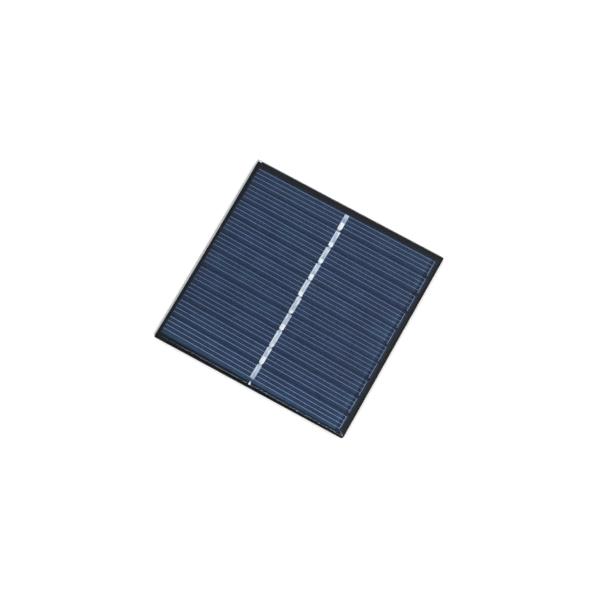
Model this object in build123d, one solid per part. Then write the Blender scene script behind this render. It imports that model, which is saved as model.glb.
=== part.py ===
from build123d import *
import os

os.makedirs("parts", exist_ok=True)

# Small solar panel: ten silicon strips in series on a black circuit board, cast in clear epoxy.
# Millimetres. The origin is the centre of the rear face, +Z points out of the face that takes
# the light, +X runs along the strips and -Y points at the negative terminal.

# ------------------------------------------------------------------ outline
BOARD_SIZE = 80.0          # the circuit board is a square
LIP = 0.4                  # the epoxy stands past the board along its -X side
PANEL_X = BOARD_SIZE + LIP
PANEL_Y = BOARD_SIZE
PANEL_Z = 3.0
BOW = 0.2                  # the board's -X side is hollow by this much at mid-length
CORNER_RADIUS = 1.0        # the one worn corner, at +X -Y
CHIP_LENGTH = 1.5          # the -X +Y corner of the board is chipped
CHIP_DEPTH = 0.4
RIM_WIDTH = 2.2            # meniscus along the top edge of the epoxy, elliptical in section
RIM_HEIGHT = 1.3

LEFT = -PANEL_X / 2
RIGHT = PANEL_X / 2
BACK = PANEL_Y / 2
FRONT = -PANEL_Y / 2
BOARD_LEFT = LEFT + LIP

# ------------------------------------------------------------------ layers, from the rear face up
REAR_MASK = 0.07
CORE = 1.47
FRONT_MASK = 0.06
FILM = 0.25
REAR_PASTE = 0.03
WAFER = 0.20
FRONT_PASTE = 0.03
COPPER = 0.035
RIBBON = 0.12
SOLDER_HEIGHT = 0.06       # solder beside a ribbon, above the busbar

Z_CORE = REAR_MASK
Z_FRONT_MASK = Z_CORE + CORE
Z_BOARD = Z_FRONT_MASK + FRONT_MASK
Z_FILM = Z_BOARD + FILM
Z_WAFER = Z_FILM + REAR_PASTE
Z_GRID = Z_WAFER + WAFER
Z_BUSBAR = Z_GRID + FRONT_PASTE
Z_REAR_COPPER = REAR_MASK - COPPER
Z_FRONT_COPPER = Z_FRONT_MASK + COPPER

# ------------------------------------------------------------------ silicon strips
STRIPS = 10
STRIP_PITCH = 7.58
FIRST_FINGER_Y = 36.78     # first finger of strip 1
STRIP_LEFT = 38.35         # from the busbar to the cut end at -X
STRIP_RIGHT = 38.35        # from the busbar to the wafer edge at +X
STRIP_TOP = 0.55           # from the first finger to the strip's +Y edge
STRIP_BOTTOM = 6.35        # from the first finger to the strip's -Y edge
CUT_SHIFT = (0, 0, 0, 0, 0, 0, 0.07, 0.15, 0.20, 0.22)    # the cuts wander off the print towards +Y
STRIP_SKEW = (0.1, -0.3, -0.8, -1.1, -1.0, -1.0, -0.6, -0.9, -1.1, -1.3)      # degrees, laid by hand
STRIP_SHIFT = (0.35, 0.5, 0.35, 0.2, 0.0, 0.25, 0.25, 0.2, 0.1, 0.0)          # busbar centre in X
STRIP_LIFT = (0.03, 0.09, 0.07, 0.02, 0.1, 0.17, 0.15, 0.13, 0.08, -0.05)     # off the even pitch in Y
LAST_BOTTOM = (6.85, 6.2)  # the last strip is cut askew: its -Y edge at the two ends
CONTACT_INSET = 0.2        # the aluminium paste stops short of the wafer's edges
FILM_MARGIN = 0.5          # the bonding film shows past the outer edges of the strips

# ------------------------------------------------------------------ printed silver grid
FINGERS = 4
FINGER_PITCH = 1.70
FINGER_WIDTH = 0.12
CLOSING_X = 37.6           # closing line, measured from the busbar
CLOSING_WIDTH = 0.15
BUSBAR_WIDTH = 1.75
BUSBAR_TOP = (0.22, 0.24, 0.42, 0.44, 0.46, 0.46, 0.46, 0.63, 0.69, 0.71)     # from the first finger
PRINT_INSET = 0.05         # the paste stops short of the wafer's edges
LAST_FINGER = (FINGERS - 1) * FINGER_PITCH

# ------------------------------------------------------------------ ribbons and solder
RIBBON_WIDTH = 1.2
RIBBON_OFFSET = (-0.2, 0.2, 0.0, 0.15, 0.0, -0.25, 0.0, -0.1, 0.0)            # sideways, laid by hand
SOLDER_LENGTH = (3.1, 1.6, 1.75, 2.2, 1.85, 1.1, 2.28, 1.55, 3.0)             # hand soldering differs
SOLDER_WIDTH = 1.65
SOLDER_CORNER = 0.3
BEND_CLEARANCE = 0.05      # from a wafer's edge to the bend of a ribbon
REAR_TAB = 5.0             # length of ribbon under the next strip
END_RIBBON_WIDTH = 0.7
END_RIBBON_LAP = 0.5       # length of the negative end ribbon on its busbar
POSITIVE_RIBBON = 6.0

# ------------------------------------------------------------------ terminals
POSITIVE_X = STRIP_SHIFT[0]
POSITIVE_Y = 35.0
NEGATIVE_X = STRIP_SHIFT[-1] + 0.1
NEGATIVE_Y = -38.6
POSITIVE_PAD = (1.6, 2.4)
NEGATIVE_PAD = (0.8, 1.1)
NEGATIVE_JOINT_HEIGHT = 0.38
JOINT_ROUND = 0.15
VIA_RADIUS = 0.3
LAND_RADIUS = 0.6
REAR_PAD = (6.0, 4.0)
REAR_PAD_Y = 32.0
PAD_OPENING_INSET = 0.2    # the mask laps over the edge of each rear pad
TRACK_WIDTH = 0.8

# ------------------------------------------------------------------ polarity marks on the rear
MARK_LENGTH = 2.6
MARK_STROKE = 0.55
MARK_INK = 0.02
MARK_X = 6.0               # from the pad's centre


def block(x_range, y_range, z_range):
    """Box between two limits along each axis."""
    size = [high - low for low, high in (x_range, y_range, z_range)]
    centre = [(high + low) / 2 for low, high in (x_range, y_range, z_range)]
    return Pos(*centre) * Box(*size)


def plate(outline, z_low, z_high):
    """Flat piece with the given outline between two heights."""
    return extrude(Pos(0, 0, z_low) * outline, z_high - z_low, dir=(0, 0, 1))


def rectangle(centre_x, centre_y, size, inset=0.0):
    return Pos(centre_x, centre_y) * Rectangle(size[0] - 2 * inset, size[1] - 2 * inset)


def worn_corner(outline):
    """Round the +X -Y corner of an outline."""
    corner = outline.vertices().sort_by(lambda vertex: vertex.X - vertex.Y)[-1]
    return fillet(corner, CORNER_RADIUS)


# ------------------------------------------------------------------ board

def board_outline():
    """Square with one hollow side, one chipped corner and one worn corner."""
    chip_top = BACK - CHIP_DEPTH
    left_side = ThreePointArc((BOARD_LEFT, FRONT), (BOARD_LEFT + BOW, 0), (BOARD_LEFT, chip_top))
    other_sides = Polyline(
        (BOARD_LEFT, chip_top),
        (BOARD_LEFT + CHIP_LENGTH, chip_top),
        (BOARD_LEFT + CHIP_LENGTH, BACK),
        (RIGHT, BACK),
        (RIGHT, FRONT),
        (BOARD_LEFT, FRONT),
    )
    return worn_corner(make_face(left_side + other_sides))


def via_outlines():
    return Pos(POSITIVE_X, POSITIVE_Y) * Circle(VIA_RADIUS), Pos(NEGATIVE_X, NEGATIVE_Y) * Circle(VIA_RADIUS)


def rear_copper_outline(x, via_y, pad_y):
    """Land around the via, a track, and the pad that a lead is soldered to."""
    land = Pos(x, via_y) * Circle(LAND_RADIUS)
    track = rectangle(x, (via_y + pad_y) / 2, (TRACK_WIDTH, abs(via_y - pad_y)))
    return land + track + rectangle(x, pad_y, REAR_PAD)


def minus_outline(x, y):
    return rectangle(x, y, (MARK_LENGTH, MARK_STROKE))


def plus_outline(x, y):
    return minus_outline(x, y) + rectangle(x, y, (MARK_STROKE, MARK_LENGTH))


def board_parts():
    outline = board_outline()
    positive_via, negative_via = via_outlines()
    front_positive = rectangle(POSITIVE_X, POSITIVE_Y, POSITIVE_PAD)
    front_negative = rectangle(NEGATIVE_X, NEGATIVE_Y, NEGATIVE_PAD)
    rear_positive = rear_copper_outline(POSITIVE_X, POSITIVE_Y, REAR_PAD_Y)
    rear_negative = rear_copper_outline(NEGATIVE_X, NEGATIVE_Y, -REAR_PAD_Y)
    finish_positive = rectangle(POSITIVE_X, REAR_PAD_Y, REAR_PAD, PAD_OPENING_INSET)
    finish_negative = rectangle(NEGATIVE_X, -REAR_PAD_Y, REAR_PAD, PAD_OPENING_INSET)
    plus = plus_outline(POSITIVE_X + MARK_X, REAR_PAD_Y)
    minus = minus_outline(NEGATIVE_X + MARK_X, -REAR_PAD_Y)

    parts = {
        "board_core": plate(outline - positive_via - negative_via, Z_CORE, Z_FRONT_MASK),
        "front_solder_mask": plate(outline - front_positive - front_negative, Z_FRONT_MASK, Z_BOARD),
        "front_positive_pad": plate(front_positive, Z_FRONT_MASK, Z_FRONT_COPPER),
        "front_negative_pad": plate(front_negative, Z_FRONT_MASK, Z_FRONT_COPPER),
        "positive_via": plate(positive_via, Z_CORE, Z_FRONT_MASK),
        "negative_via": plate(negative_via, Z_CORE, Z_FRONT_MASK),
        "rear_positive_copper": plate(rear_positive, Z_REAR_COPPER, Z_CORE),
        "rear_negative_copper": plate(rear_negative, Z_REAR_COPPER, Z_CORE),
        "rear_positive_pad_finish": plate(finish_positive, 0, Z_REAR_COPPER),
        "rear_negative_pad_finish": plate(finish_negative, 0, Z_REAR_COPPER),
        "plus_mark": plate(plus, 0, MARK_INK),
        "minus_mark": plate(minus, 0, MARK_INK),
    }
    set_in_mask = (
        "rear_positive_copper",
        "rear_negative_copper",
        "rear_positive_pad_finish",
        "rear_negative_pad_finish",
        "plus_mark",
        "minus_mark",
    )
    rear_mask = plate(outline, 0, Z_CORE)
    for name in set_in_mask:
        rear_mask -= parts[name]
    parts["rear_solder_mask"] = rear_mask
    return parts


# ------------------------------------------------------------------ strips

def strip_place(index):
    """Frame of a strip: X along its first finger, Y across the strip, origin on the busbar."""
    y = FIRST_FINGER_Y - index * STRIP_PITCH + STRIP_LIFT[index]
    return Location((STRIP_SHIFT[index], y, 0), (0, 0, STRIP_SKEW[index]))


def strip_edge_y(index, local_y):
    """World Y of a strip's edge at the busbar."""
    return (strip_place(index) * Pos(0, local_y, 0)).position.Y


def strip_top(index):
    """Distance from the first finger up to the strip's +Y edge."""
    return STRIP_TOP + CUT_SHIFT[index]


def strip_bottoms(index):
    """Distance from the first finger down to the strip's -Y edge, at its -X and +X ends."""
    if index == STRIPS - 1:
        return LAST_BOTTOM
    bottom = STRIP_BOTTOM - CUT_SHIFT[index]
    return bottom, bottom


def bottom_at_busbar(index):
    """Distance from the first finger down to the strip's -Y edge, at the busbar."""
    return sum(strip_bottoms(index)) / 2


def strip_corners(index, outset=0.0):
    """Corners of a strip on its own axes, moved outwards by the outset."""
    left = -STRIP_LEFT - outset
    right = STRIP_RIGHT + outset
    top = strip_top(index) + outset
    left_bottom, right_bottom = strip_bottoms(index)
    return (left, top), (right, top), (right, -right_bottom - outset), (left, -left_bottom - outset)


def strip_layer(index, outset, z_low, z_high):
    outline = Polygon(*strip_corners(index, outset), align=None)
    return strip_place(index) * plate(outline, z_low, z_high)


def cell(index):
    return strip_layer(index, 0, Z_WAFER, Z_GRID)


def rear_contact(index):
    return strip_layer(index, -CONTACT_INSET, Z_FILM, Z_WAFER)


def front_grid(index):
    """Busbar, fingers and closing line. The last strip's print ends at its last finger."""
    is_last = index == STRIPS - 1
    print_end = -LAST_FINGER - CLOSING_WIDTH / 2 if is_last else PRINT_INSET - bottom_at_busbar(index)
    height = (Z_GRID, Z_BUSBAR)
    grid = block((-BUSBAR_WIDTH / 2, BUSBAR_WIDTH / 2), (print_end, BUSBAR_TOP[index]), height)
    closing = (CLOSING_X - CLOSING_WIDTH / 2, CLOSING_X + CLOSING_WIDTH / 2)
    grid += block(closing, (print_end, FINGER_WIDTH / 2), height)
    for finger in range(FINGERS):
        y = -finger * FINGER_PITCH
        across = (y - FINGER_WIDTH / 2, y + FINGER_WIDTH / 2)
        grid += block((PRINT_INSET - STRIP_LEFT, CLOSING_X), across, height)
    return strip_place(index) * grid


def bonding_film():
    """One sheet under all the strips, a little larger than the slanted outline that they make."""
    first = strip_corners(0, FILM_MARGIN)[:2]
    last = strip_corners(STRIPS - 1, FILM_MARGIN)[2:]
    corners = [strip_place(0) * Pos(*corner) for corner in first]
    corners += [strip_place(STRIPS - 1) * Pos(*corner) for corner in last]
    outline = Polygon(*[(corner.position.X, corner.position.Y) for corner in corners], align=None)
    return plate(outline, Z_BOARD, Z_FILM)


# ------------------------------------------------------------------ ribbons and solder

def bent_ribbon(x, width, underside):
    """Ribbon whose underside runs through (y, z) points."""
    upper = [(y, z + RIBBON) for y, z in reversed(underside)]
    profile = Plane.YZ * Polygon(*underside, *upper, align=None)
    return Pos(x, 0, 0) * extrude(profile, width / 2, both=True)


def ribbon_x(index):
    """Midway between the two busbars that it joins, and a little off to one side."""
    return (STRIP_SHIFT[index] + STRIP_SHIFT[index + 1]) / 2 + RIBBON_OFFSET[index]


def tab_ribbon(index):
    """From the front of one strip, down through the gap, to the rear of the next."""
    edge = strip_edge_y(index, -bottom_at_busbar(index))
    next_edge = strip_edge_y(index + 1, strip_top(index + 1))
    lap_end = edge + SOLDER_LENGTH[index] - SOLDER_CORNER
    underside = [
        (lap_end, Z_BUSBAR),
        (edge - BEND_CLEARANCE, Z_BUSBAR),
        (next_edge + BEND_CLEARANCE, Z_FILM - RIBBON),
        (next_edge - REAR_TAB, Z_FILM - RIBBON),
    ]
    return bent_ribbon(ribbon_x(index), RIBBON_WIDTH, underside)


def negative_end_ribbon():
    """From the last busbar over the strip's edge to the pad on the border."""
    edge = strip_edge_y(STRIPS - 1, -bottom_at_busbar(STRIPS - 1))
    busbar_end = strip_edge_y(STRIPS - 1, -LAST_FINGER)
    pad_start = NEGATIVE_Y + NEGATIVE_PAD[1] / 4
    underside = [
        (busbar_end + END_RIBBON_LAP, Z_BUSBAR),
        (edge - BEND_CLEARANCE, Z_BUSBAR),
        (pad_start, Z_BOARD),
        (NEGATIVE_Y - NEGATIVE_PAD[1] / 2 + JOINT_ROUND, Z_BOARD),
    ]
    return bent_ribbon(NEGATIVE_X, END_RIBBON_WIDTH, underside)


def positive_end_ribbon():
    """Flat under strip 1, from its rear contact to the pad below."""
    start = strip_edge_y(0, strip_top(0)) - CONTACT_INSET - RIBBON
    underside = [(start, Z_FILM - RIBBON), (start - POSITIVE_RIBBON, Z_FILM - RIBBON)]
    return bent_ribbon(POSITIVE_X, RIBBON_WIDTH, underside)


def busbar_solder(index, ribbon):
    """Pool of solder on the lower end of one busbar, around the ribbon."""
    length = SOLDER_LENGTH[index]
    pool = RectangleRounded(SOLDER_WIDTH, length, SOLDER_CORNER)
    pool = Pos(0, PRINT_INSET - bottom_at_busbar(index) + length / 2) * pool
    return strip_place(index) * plate(pool, Z_BUSBAR, Z_BUSBAR + SOLDER_HEIGHT) - ribbon


def terminal_joints(parts):
    """Positive joint hidden under strip 1, negative joint on the border."""
    positive = rectangle(POSITIVE_X, POSITIVE_Y, POSITIVE_PAD)
    positive = plate(positive, Z_FRONT_COPPER, Z_FILM - RIBBON)
    negative = rectangle(NEGATIVE_X, NEGATIVE_Y, NEGATIVE_PAD)
    negative = plate(negative, Z_FRONT_COPPER, Z_FRONT_COPPER + NEGATIVE_JOINT_HEIGHT)
    negative = fillet(negative.edges().group_by(Axis.Z)[-1], JOINT_ROUND)
    return Compound([positive.solid(), (negative - parts["negative_end_ribbon"]).solid()])


# ------------------------------------------------------------------ epoxy

def edge_profile(plane, width):
    """Long bar with a quarter ellipse along each top edge, as the cast epoxy is in section."""
    side = width / 2
    shoulder = PANEL_Z - RIM_HEIGHT
    flat = side - RIM_WIDTH
    lower_sides = Polyline((-side, shoulder), (-side, Z_BOARD), (side, Z_BOARD), (side, shoulder))
    right_rim = EllipticalCenterArc((flat, shoulder), RIM_WIDTH, RIM_HEIGHT, 0)
    left_rim = EllipticalCenterArc((-flat, shoulder), RIM_WIDTH, RIM_HEIGHT, 90)
    top = Line((flat, PANEL_Z), (-flat, PANEL_Z))
    section = make_face(lower_sides + right_rim + top + left_rim)
    return extrude(plane * section, max(PANEL_X, PANEL_Y), both=True)


def epoxy_blank():
    """Rounded along all four sides; the rounded sides meet in a mitre at each corner."""
    outline = worn_corner(Rectangle(PANEL_X, PANEL_Y))
    blank = plate(outline, Z_BOARD, PANEL_Z)
    return blank & edge_profile(Plane.XZ, PANEL_X) & edge_profile(Plane.YZ, PANEL_Y)


def build():
    """The board, and on it everything that the epoxy is cast around."""
    board = board_parts()
    parts = {}
    for index in range(STRIPS):
        number = f"{index + 1:02d}"
        parts[f"cell_{number}"] = cell(index)
        parts[f"rear_contact_{number}"] = rear_contact(index)
        parts[f"front_grid_{number}"] = front_grid(index)
    pools = []
    for index in range(STRIPS - 1):
        ribbon = tab_ribbon(index)
        parts[f"tab_ribbon_{index + 1:02d}"] = ribbon
        pools += busbar_solder(index, ribbon).solids()
    parts["busbar_solder_joints"] = Compound(pools)
    parts["positive_end_ribbon"] = positive_end_ribbon()
    parts["negative_end_ribbon"] = negative_end_ribbon()
    parts["terminal_solder_joints"] = terminal_joints(parts)

    film = bonding_film() - parts["positive_end_ribbon"] - parts["negative_end_ribbon"]
    for solid in parts["terminal_solder_joints"].solids():
        film -= solid
    for index in range(STRIPS - 1):
        film -= parts[f"tab_ribbon_{index + 1:02d}"]
    parts["bonding_film"] = film

    embedded = [solid for part in parts.values() for solid in part.solids()]
    parts["clear_epoxy_cover"] = epoxy_blank() - embedded
    return board | parts


for node, shape in build().items():
    export_step(shape, f"parts/{node}.step")
    print(f"{node}: {len(shape.solids())} solid(s), {shape.volume:.3f} mm3")
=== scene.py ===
import math

import bmesh
import bpy
from mathutils import Matrix, Vector, noise as field


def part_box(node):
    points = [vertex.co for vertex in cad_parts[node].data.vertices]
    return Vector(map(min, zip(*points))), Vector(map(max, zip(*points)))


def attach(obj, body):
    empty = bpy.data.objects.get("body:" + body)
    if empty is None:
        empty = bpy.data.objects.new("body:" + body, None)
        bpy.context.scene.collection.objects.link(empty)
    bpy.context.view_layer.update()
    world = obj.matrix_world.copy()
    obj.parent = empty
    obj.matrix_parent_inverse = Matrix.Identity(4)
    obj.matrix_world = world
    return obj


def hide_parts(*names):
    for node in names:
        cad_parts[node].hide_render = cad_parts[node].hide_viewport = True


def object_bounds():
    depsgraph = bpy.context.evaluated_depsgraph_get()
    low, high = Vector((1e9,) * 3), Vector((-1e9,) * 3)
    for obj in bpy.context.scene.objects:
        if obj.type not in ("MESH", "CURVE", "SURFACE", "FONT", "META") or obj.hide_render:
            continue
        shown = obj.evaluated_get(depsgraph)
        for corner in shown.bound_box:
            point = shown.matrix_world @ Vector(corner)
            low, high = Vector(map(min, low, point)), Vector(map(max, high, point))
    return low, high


# Looks of the small epoxy-cast solar panel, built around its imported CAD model.
# Everything is in metres in the CAD frame: +Z out of the lit face, +X along the strips.

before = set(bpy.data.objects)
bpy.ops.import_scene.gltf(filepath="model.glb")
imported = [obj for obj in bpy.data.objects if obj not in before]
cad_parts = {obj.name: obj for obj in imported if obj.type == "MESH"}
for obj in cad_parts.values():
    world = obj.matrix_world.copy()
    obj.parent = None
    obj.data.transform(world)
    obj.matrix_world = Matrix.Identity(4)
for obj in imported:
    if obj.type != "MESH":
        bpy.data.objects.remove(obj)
cad_low, cad_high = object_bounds()

MM = 0.001
STRIPS = 10
BUSBAR_HALF_WIDTH = 0.875 * MM


def strip_corners(number):
    """Upper corners of a strip, at +Y, then its lower ones, each pair from -X to +X."""
    points = [vertex.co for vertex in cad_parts[f"cell_{number:02d}"].data.vertices]
    middle = sum(points, Vector()) / len(points)
    upper = []
    lower = []
    for side in (-1, 1):
        found = [point for point in points if (point.x - middle.x) * side > 0]
        found.sort(key=lambda point: point.y)
        upper.append(found[-1].copy())
        lower.append(found[0].copy())
    return upper, lower


def strip_place(number):
    """Place of a strip's own axes: X along it, Y across it, origin on its upper edge at the busbar."""
    left, right = strip_corners(number)[0]
    along = right - left
    turn = Matrix.Rotation(math.atan2(along.y, along.x), 4, "Z")
    return Matrix.Translation((left + right) / 2) @ turn


def strip_depth(number):
    """Distance at the busbar from a strip's upper edge to its lower one."""
    upper, lower = strip_corners(number)
    return ((upper[0] + upper[1]) / 2 - (lower[0] + lower[1]) / 2).xy.length


# ------------------------------------------------------------------ camera
VIEW_AZIMUTH = 22.363        # degrees round the panel, 0 looks along +Y
VIEW_ELEVATION = 73.002
VIEW_ROLL = 6.755
VIEW_DISTANCE = 0.90515
LENS = 144.43                # mm
SENSOR_WIDTH = 36.0          # mm
SHIFT_X = 0.0010
SHIFT_Y = -0.0038
NEAREST_SEEN = 0.01
FARTHEST_SEEN = 10.0


def direction(azimuth, elevation):
    """Unit vector from the panel towards a place at that azimuth and elevation, in degrees."""
    a = math.radians(azimuth)
    e = math.radians(elevation)
    return Vector((math.sin(a) * math.cos(e), -math.cos(a) * math.cos(e), math.sin(e)))


def make_camera():
    """Camera over the panel, aimed at the middle of its rear face."""
    data = bpy.data.cameras.new("camera")
    data.sensor_width = SENSOR_WIDTH
    data.lens = LENS
    data.shift_x = SHIFT_X
    data.shift_y = SHIFT_Y
    camera = bpy.data.objects.new("camera", data)
    bpy.context.scene.collection.objects.link(camera)
    back = direction(VIEW_AZIMUTH, VIEW_ELEVATION)
    azimuth = math.radians(VIEW_AZIMUTH)
    right = Vector((math.cos(azimuth), math.sin(azimuth), 0))
    up = back.cross(right)
    turn = Matrix((right, up, back)).transposed() @ Matrix.Rotation(math.radians(VIEW_ROLL), 3, "Z")
    target = Vector(((cad_low.x + cad_high.x) / 2, (cad_low.y + cad_high.y) / 2, cad_low.z))
    camera.matrix_world = Matrix.Translation(target + back * VIEW_DISTANCE) @ turn.to_4x4()
    data.clip_start = NEAREST_SEEN
    data.clip_end = FARTHEST_SEEN
    bpy.context.scene.camera = camera


# ------------------------------------------------------------------ node helpers

def add(tree, kind, inputs=None, **settings):
    """Add a node, set its properties, and set or link its inputs."""
    node = tree.nodes.new(kind)
    for name, value in settings.items():
        setattr(node, name, value)
    for key, value in (inputs or {}).items():
        if isinstance(value, bpy.types.NodeSocket):
            tree.links.new(value, node.inputs[key])
        else:
            node.inputs[key].default_value = value
    return node


def new_material(name, **values):
    """Material with one Principled shader; values are its sockets, with _ for a space."""
    material = bpy.data.materials.new(name)
    material.use_nodes = True
    tree = material.node_tree
    shader = tree.nodes["Principled BSDF"]
    for key, value in values.items():
        shader.inputs[key.replace("_", " ")].default_value = value
    return material, tree, shader


def place(tree, shift=(0, 0, 0), stretch=(1, 1, 1)):
    """The point on the object in metres, moved and stretched."""
    coordinates = add(tree, "ShaderNodeTexCoord")
    mapping = add(
        tree,
        "ShaderNodeMapping",
        {"Vector": coordinates.outputs["Object"], "Location": shift, "Scale": stretch},
    )
    return mapping.outputs["Vector"]


def noise(tree, vector, size, detail=2.0, roughness=0.5):
    """Noise whose features are about size metres across."""
    inputs = {"Vector": vector, "Scale": 1 / size, "Detail": detail, "Roughness": roughness}
    return add(tree, "ShaderNodeTexNoise", inputs).outputs["Fac"]


def ramp(tree, factor, stops, interpolation="LINEAR"):
    """Colour ramp from (position, colour) stops."""
    node = add(tree, "ShaderNodeValToRGB", {"Fac": factor})
    node.color_ramp.interpolation = interpolation
    elements = node.color_ramp.elements
    while len(elements) < len(stops):
        elements.new(0.5)
    for element, (position, colour) in zip(elements, stops):
        element.position = position
        element.color = (*colour, 1.0)
    return node.outputs["Color"]


def blend_colour(tree, factor, first, second, mode="MIX"):
    """Blend two colours, each a socket or an (r, g, b) tuple."""
    inputs = {"Factor": factor, 6: first, 7: second}
    for key in (6, 7):
        if isinstance(inputs[key], tuple):
            inputs[key] = (*inputs[key], 1.0)
    return add(tree, "ShaderNodeMix", inputs, data_type="RGBA", blend_type=mode).outputs[2]


def scale_range(tree, value, low, high, start=0.0, end=1.0):
    """Map value from start..end to low..high, held at both ends."""
    inputs = {"Value": value, "From Min": start, "From Max": end, "To Min": low, "To Max": high}
    return add(tree, "ShaderNodeMapRange", inputs).outputs["Result"]


def calculate(tree, operation, first, second=0.0):
    """One step of arithmetic on one or two values."""
    return add(tree, "ShaderNodeMath", {0: first, 1: second}, operation=operation).outputs[0]


def bump(tree, shader, height, depth, strength=1.0):
    """Surface relief of the given depth in metres."""
    node = add(tree, "ShaderNodeBump", {"Height": height, "Distance": depth, "Strength": strength})
    tree.links.new(node.outputs["Normal"], shader.inputs["Normal"])


# ------------------------------------------------------------------ materials
PLAIN = (1.0, 1.0, 1.0)

# Silicon: crystals per metre, the scale of the noise that bends their outlines, and its reach.
COARSE_CRYSTALS = 190.0
FINE_CRYSTALS = 620.0
BEND_SCALE = 210.0
BEND_REACH = 0.0045
# The first strips are a little warmer and the last a little greener than the rest.
STRIP_TINTS = {1: (1.06, 1.04, 0.98), 2: (1.05, 1.02, 1.0), 10: (1.05, 1.12, 1.08)}
WAFER_MARGIN_X = 37.75 * MM  # past the print the wafer's end is darker, measured from the busbar
WAFER_MARGIN_RUN = 0.35 * MM
WAFER_MARGIN_TONE = 0.62
LAST_PRINT_END = 5.95 * MM   # below the upper edge of the last strip; past it the strip is lighter, a painted light from the resin's rounded edge
LAST_PRINT_RUN = 0.3 * MM
LAST_MARGIN_PAINTED_LIGHT = (1.50, 1.36, 1.13)
# Tone near the ends of a strip, by distance in mm from its busbar. It greys towards the cut end at
# -X. Before the closing line at +X it is first brighter, then dark where the wafer was isolated.
CUT_END_TONES = (
    (-38.4, (0.94, 0.80, 0.70)),
    (-37.0, (0.92, 0.86, 0.81)),
    (-34.5, (0.98, 0.98, 0.98)),
    (-30.0, PLAIN),
)
CLOSED_END_TONES = (
    (30.0, PLAIN),
    (34.5, (1.04, 1.08, 1.05)),
    (35.4, (1.34, 1.31, 1.19)),
    (36.0, (1.42, 1.38, 1.28)),
    (36.5, (0.32, 0.48, 0.58)),
    (37.1, (0.32, 0.48, 0.58)),
    (37.5, (0.88, 0.88, 0.87)),
    (38.4, (1.15, 1.10, 1.00)),
)

# Printed silver: the fingers' darkest and brightest tone, and how much of the end tones they take.
FINGER_DARK = (0.170, 0.242, 0.400)
FINGER_BRIGHT = (0.240, 0.322, 0.508)
FINGER_SHARE_OF_END_TONES = 0.5
# The print is fainter in the middle strips and strongest on the last.
PRINT_STRENGTHS = {5: 0.93, 6: 0.86, 7: 0.86, 9: 1.06, 10: 1.28}
USUAL_PRINT_STRENGTH = 0.95
# Tin on the busbars: more of it on some, and bluer where there is little.
BUSBAR_TINTS = {
    1: (0.82, 0.84, 0.90),
    2: (1.20, 1.20, 1.18),
    3: (1.05, 1.05, 1.04),
    4: (1.07, 1.07, 1.06),
    5: (1.14, 1.12, 1.09),
    6: (1.15, 1.12, 1.08),
    8: (1.11, 1.11, 1.10),
    9: (1.04, 1.05, 1.07),
    10: (0.89, 0.91, 0.97),
}
BUSBAR_DULL = (0.30 * MM, 0.72 * MM)    # dull up to the first distance from its middle line
BUSBAR_FADE = (-1.0 * MM, -4.4 * MM)    # it darkens from the first to the second, on a strip's own Y
BUSBAR_MARGIN = 0.03 * MM               # its colour goes this far past its edge

# Solder: its darkest and brightest tone, and the brightness of each bead from the first strip on.
SOLDER_DARK = (0.63, 0.70, 0.75)
SOLDER_BRIGHT = (0.855, 0.90, 0.915)
SOLDER_ROUGHNESS = 0.38
BEAD_TONES = (1.14, 1.10, 1.09, 1.12, 1.09, 0.90, 1.06, 0.88, 1.06)
# Ribbons: dull below the first height, bright above the second; in the gap between strips the dull part is
# flux and painted shade.
RIBBON_GAP_SHADE_HEIGHTS = (2.02 * MM, 2.20 * MM)
END_RIBBON_BRIGHT = (0.40, 0.47, 0.56)
# The end ribbon's painted shade begins over this span.
END_RIBBON_SHADE_RUN = (-0.10 * MM, 0.35 * MM)   # from just above to just below the end of the print

# Board: specks of dust per metre, and their size as a share of the space they have.
DUST_SPECKS = 420.0
DUST_SIZE = 0.05
# Bonding film: its front edge falls by a share of X, and it is dark along its outline, a painted shade
# under the resin's rim.
# Each pair is the distances from that edge between which it darkens.
FILM_SLANT = 0.0140
# Colour of the painted shade along the film's outline.
FILM_EDGE_SHADE = (0.0016, 0.0065, 0.0180)
FILM_RIGHT = (3.1 * MM, 2.5 * MM)
FILM_LEFT = (3.6 * MM, 0.6 * MM)
FILM_FRONT = (0.45 * MM, 0.95 * MM)
FILM_BACK = (0.7 * MM, 0.45 * MM)

# Resin.
RESIN_INDEX = 1.5            # of refraction
RESIN_ROUGHNESS = 0.24
LIP_SHADE_WIDTH = 1.0 * MM        # width in which the resin darkens the -X side, a painted shade on its lip
RIDGE_REFLECTION_HEIGHTS = (1.9 * MM, 2.95 * MM)   # from where the crest is palest and warmest to where it is bluest, a painted reflection


def own_axes(tree, strip):
    """The point on a strip's own axes, as separate X, Y and Z."""
    origin = strip_place(strip)
    own = add(
        tree,
        "ShaderNodeMapping",
        {
            "Vector": add(tree, "ShaderNodeTexCoord").outputs["Object"],
            "Location": origin.translation,
            "Rotation": origin.to_euler(),
        },
        vector_type="TEXTURE",
    )
    return add(tree, "ShaderNodeSeparateXYZ", {"Vector": own.outputs["Vector"]})


def tone_along(tree, own, tones):
    """Colour ramp over the distance along a strip, from (distance, colour) pairs."""
    first = tones[0][0]
    last = tones[-1][0]
    share = scale_range(tree, own.outputs["X"], 0.0, 1.0, first * MM, last * MM)
    return ramp(tree, share, [((x - first) / (last - first), tone) for x, tone in tones])


def end_tones(tree, own):
    """Colour to multiply by, for the point's place along its strip."""
    cut_end = tone_along(tree, own, CUT_END_TONES)
    return blend_colour(tree, 1.0, cut_end, tone_along(tree, own, CLOSED_END_TONES), "MULTIPLY")


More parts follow.
